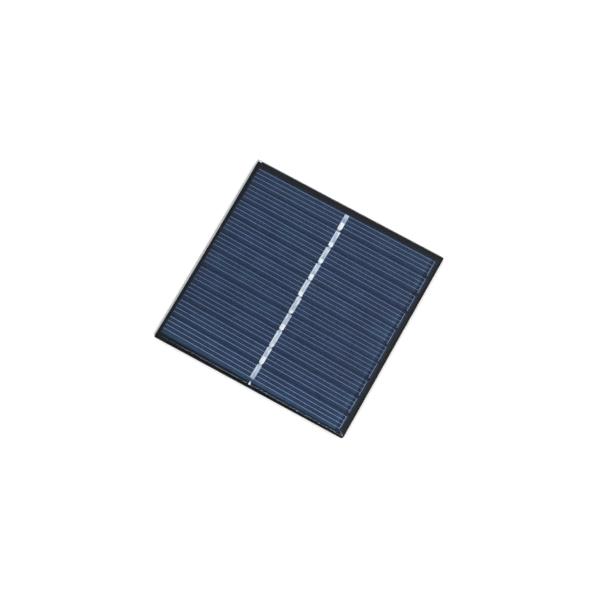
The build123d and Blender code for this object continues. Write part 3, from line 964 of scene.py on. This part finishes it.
def negative_ribbon():
    """End ribbon from the last busbar down to the joint, a narrow tongue where it leaves the busbar."""
    node = "negative_end_ribbon"
    low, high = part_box(node)
    x = (low.x + high.x) / 2
    edge = (strip_place(STRIPS) @ Vector((0, -strip_depth(STRIPS), 0))).y - BEND_CLEARANCE
    below = low.z + RIBBON_THICKNESS / 2
    above = BUSBAR_TOP + RIBBON_THICKNESS / 2
    route = [(x, low.y, below, TONGUE_END_WIDTH)]
    for step in range(END_RIBBON_STEPS + 1):
        share = step / END_RIBBON_STEPS
        y = edge - END_RIBBON_FALL * (1 - share)
        route.append((x, y, below + (above - below) * ease(share), TONGUE_WIDTH))
    route.append((x, high.y - TONGUE_NARROWS, above, TONGUE_WIDTH))
    route.append((x, high.y - TONGUE_TIP, above, TONGUE_END_WIDTH))
    route.append((x, high.y, above, TONGUE_TIP_WIDTH))
    ribbon_piece("negative_ribbon", [node], route, materials["end_ribbon"])


# ------------------------------------------------------------------ materials of the CAD nodes

def dress(node, material):
    """Give a carried-over CAD node its material."""
    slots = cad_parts[node].data.materials
    slots.clear()
    slots.append(material)


def make_materials():
    """Every material that more than one node or piece may wear, by name."""
    front_black = (0.0050, 0.0070, 0.0098)
    front_dust = (0.010, 0.012, 0.015)
    rear_black = (0.0085, 0.0090, 0.0095)
    rear_dust = (0.013, 0.013, 0.013)
    paste = ((0.32, 0.32, 0.31), (0.42, 0.42, 0.41))
    copper = ((0.62, 0.27, 0.14), (0.78, 0.38, 0.22))
    finish = ((0.52, 0.53, 0.54), (0.70, 0.71, 0.72))
    ink = ((0.66, 0.66, 0.63), (0.78, 0.78, 0.75))
    joint = (SOLDER_DARK, SOLDER_BRIGHT, SOLDER_ROUGHNESS)
    return {
        "front_solder_mask": solder_mask("front_mask", front_black, front_dust, 0.35),
        "rear_solder_mask": solder_mask("rear_mask", rear_black, rear_dust, 0.4),
        "laminate": laminate(),
        "bonding_film": bonding_film(),
        "ribbon": tinned_ribbon(),
        "bead_solder": bead_solder(),
        "solder": plain_solder("joint_solder", *joint),
        "end_ribbon": end_ribbon(),
        "aluminium_paste": plain_metal("aluminium_paste", *paste, 0.7, 0.0, 0.0008),
        "copper": plain_metal("copper", *copper, 0.35, 0.9, 0.0012),
        "pad_finish": plain_solder("pad_finish", *finish, 0.28),
        "legend_ink": plain_metal("legend_ink", *ink, 0.6, 0.0, 0.0004),
        "clear_epoxy": clear_epoxy(),
        "scuff_and_glint_resin": scuff_and_glint_resin(),
    }


def dress_cad_nodes():
    """Materials for all the CAD nodes that are carried over; each strip has its own two."""
    for number in range(1, STRIPS + 1):
        dress(f"cell_{number:02d}", silicon(number))
        dress(f"rear_contact_{number:02d}", materials["aluminium_paste"])
        dress(f"front_grid_{number:02d}", silver_paste(number))
    dress("positive_end_ribbon", materials["ribbon"])
    dress("bonding_film", materials["bonding_film"])
    dress("board_core", materials["laminate"])
    dress("front_solder_mask", materials["front_solder_mask"])
    dress("rear_solder_mask", materials["rear_solder_mask"])
    for node in ("front_positive_pad", "positive_via", "negative_via"):
        dress(node, materials["copper"])
    dress("front_negative_pad", materials["solder"])
    for side in ("positive", "negative"):
        dress(f"rear_{side}_copper", materials["copper"])
        dress(f"rear_{side}_pad_finish", materials["pad_finish"])
    dress("plus_mark", materials["legend_ink"])
    dress("minus_mark", materials["legend_ink"])


# ------------------------------------------------------------------ floor and light
FLOOR_HALF = 3.0
FLOOR_GAP = 0.02 * MM        # between the panel's rear face and the floor
ROOM_LIGHT = 1.35            # on what isn't glossy
ROOM_SEEN = 1.3              # behind everything
REFLECTED_DISTANCE = 1.5


def make_floor():
    """Pale floor that the panel lies on."""
    mesh = bpy.data.meshes.new("floor")
    half = FLOOR_HALF
    z = cad_low.z - FLOOR_GAP
    corners = [(-half, -half, z), (half, -half, z), (half, half, z), (-half, half, z)]
    mesh.from_pydata(corners, [], [(0, 1, 2, 3)])
    floor = bpy.data.objects.new("floor", mesh)
    bpy.context.scene.collection.objects.link(floor)
    material, tree, shader = new_material("floor", Roughness=0.9, Specular_IOR_Level=0.0)
    paper = noise(tree, place(tree), 0.004, 2.0)
    colour = ramp(tree, paper, [(0.3, (0.90, 0.90, 0.90)), (0.7, (0.93, 0.93, 0.93))])
    tree.links.new(colour, shader.inputs["Base Color"])
    mesh.materials.append(material)
    floor.visible_glossy = False


def make_world():
    """White room: bright for what it lights, calmer for what glossy surfaces mirror."""
    world = bpy.data.worlds.new("studio")
    bpy.context.scene.world = world
    world.use_nodes = True
    tree = world.node_tree
    tree.nodes.clear()
    rays = add(tree, "ShaderNodeLightPath")
    coordinates = add(tree, "ShaderNodeTexCoord").outputs["Generated"]
    towards = add(tree, "ShaderNodeSeparateXYZ", {"Vector": coordinates})
    walls = ramp(
        tree,
        scale_range(tree, towards.outputs["Z"], 0.0, 1.0, -1.0, 1.0),
        [
            (0.0, (0.10, 0.10, 0.10)),
            (0.48, (0.16, 0.16, 0.16)),
            (0.56, (0.34, 0.35, 0.36)),
            (1.0, (0.21, 0.22, 0.23)),
        ],
    )
    overhead = scale_range(tree, towards.outputs["Z"], 0.0, 1.0, 0.80, 0.93)
    lamp_side = scale_range(tree, towards.outputs["X"], 0.0, 1.0, -0.125, -0.045)
    behind = scale_range(tree, towards.outputs["Y"], 0.32, 1.0, -0.02, 0.18)
    dark_side = scale_range(tree, towards.outputs["X"], 0.4, 1.0, -0.42, -0.16)
    glow = calculate(tree, "MULTIPLY", overhead, calculate(tree, "POWER", lamp_side, 1.6))
    boost = calculate(tree, "ADD", 0.88, glow)
    boost = calculate(tree, "MULTIPLY", boost, calculate(tree, "MULTIPLY", behind, dark_side))
    soft = add(tree, "ShaderNodeBackground", {"Color": (1.0, 1.0, 1.0, 1), "Strength": ROOM_LIGHT})
    mirrored = add(tree, "ShaderNodeBackground", {"Color": walls, "Strength": boost})
    seen = add(tree, "ShaderNodeBackground", {"Color": (1, 1, 1, 1), "Strength": ROOM_SEEN})
    glossy = add(
        tree,
        "ShaderNodeMixShader",
        {"Fac": rays.outputs["Is Glossy Ray"], 1: soft.outputs[0], 2: mirrored.outputs[0]},
    )
    final = add(
        tree,
        "ShaderNodeMixShader",
        {"Fac": rays.outputs["Is Camera Ray"], 1: glossy.outputs[0], 2: seen.outputs[0]},
    )
    output = add(tree, "ShaderNodeOutputWorld")
    tree.links.new(final.outputs[0], output.inputs["Surface"])


def area_light(name, azimuth, elevation, distance, size, power):
    """Rectangular soft box that faces the panel."""
    data = bpy.data.lights.new(name, "AREA")
    data.shape = "RECTANGLE"
    data.size, data.size_y = size
    data.energy = power
    light = bpy.data.objects.new(name, data)
    bpy.context.scene.collection.objects.link(light)
    towards = direction(azimuth, elevation)
    facing = towards.to_track_quat("Z", "Y").to_matrix().to_4x4()
    light.matrix_world = Matrix.Translation(towards * distance) @ facing
    return light


def reflected_box(name, azimuth, elevation, half_width, half_height, brightness, colour):
    """Soft box that only glossy surfaces see; its half sizes are angles in degrees."""
    distance = REFLECTED_DISTANCE
    width = 2 * distance * math.tan(math.radians(half_width))
    height = 2 * distance * math.tan(math.radians(half_height))
    power = brightness * math.pi * width * height
    light = area_light(name, azimuth, elevation, distance, (width, height), power)
    light.data.color = colour
    light.visible_diffuse = False


def make_lights():
    """One soft key light, and two soft boxes that the resin's rim mirrors."""
    area_light("key", azimuth=70, elevation=50, distance=0.8, size=(0.35, 0.35), power=0.75)
    blue = (0.60, 0.79, 0.96)
    warm = (1.0, 0.98, 0.93)
    reflected_box("front_box", -4, 53, half_width=5, half_height=6, brightness=19, colour=blue)
    reflected_box("corner_box", 58, 50, half_width=12, half_height=20, brightness=7.8, colour=warm)


# ------------------------------------------------------------------ build

bpy.context.scene.view_settings.view_transform = "Standard"
make_camera()
materials = make_materials()
dress_cad_nodes()
for ribbon_number in range(1, STRIPS):
    tab_ribbon(ribbon_number)
negative_ribbon()
busbar_solder()
terminal_solder()
epoxy_cover()
scuffed_glint_ridge()
make_floor()
make_world()
make_lights()
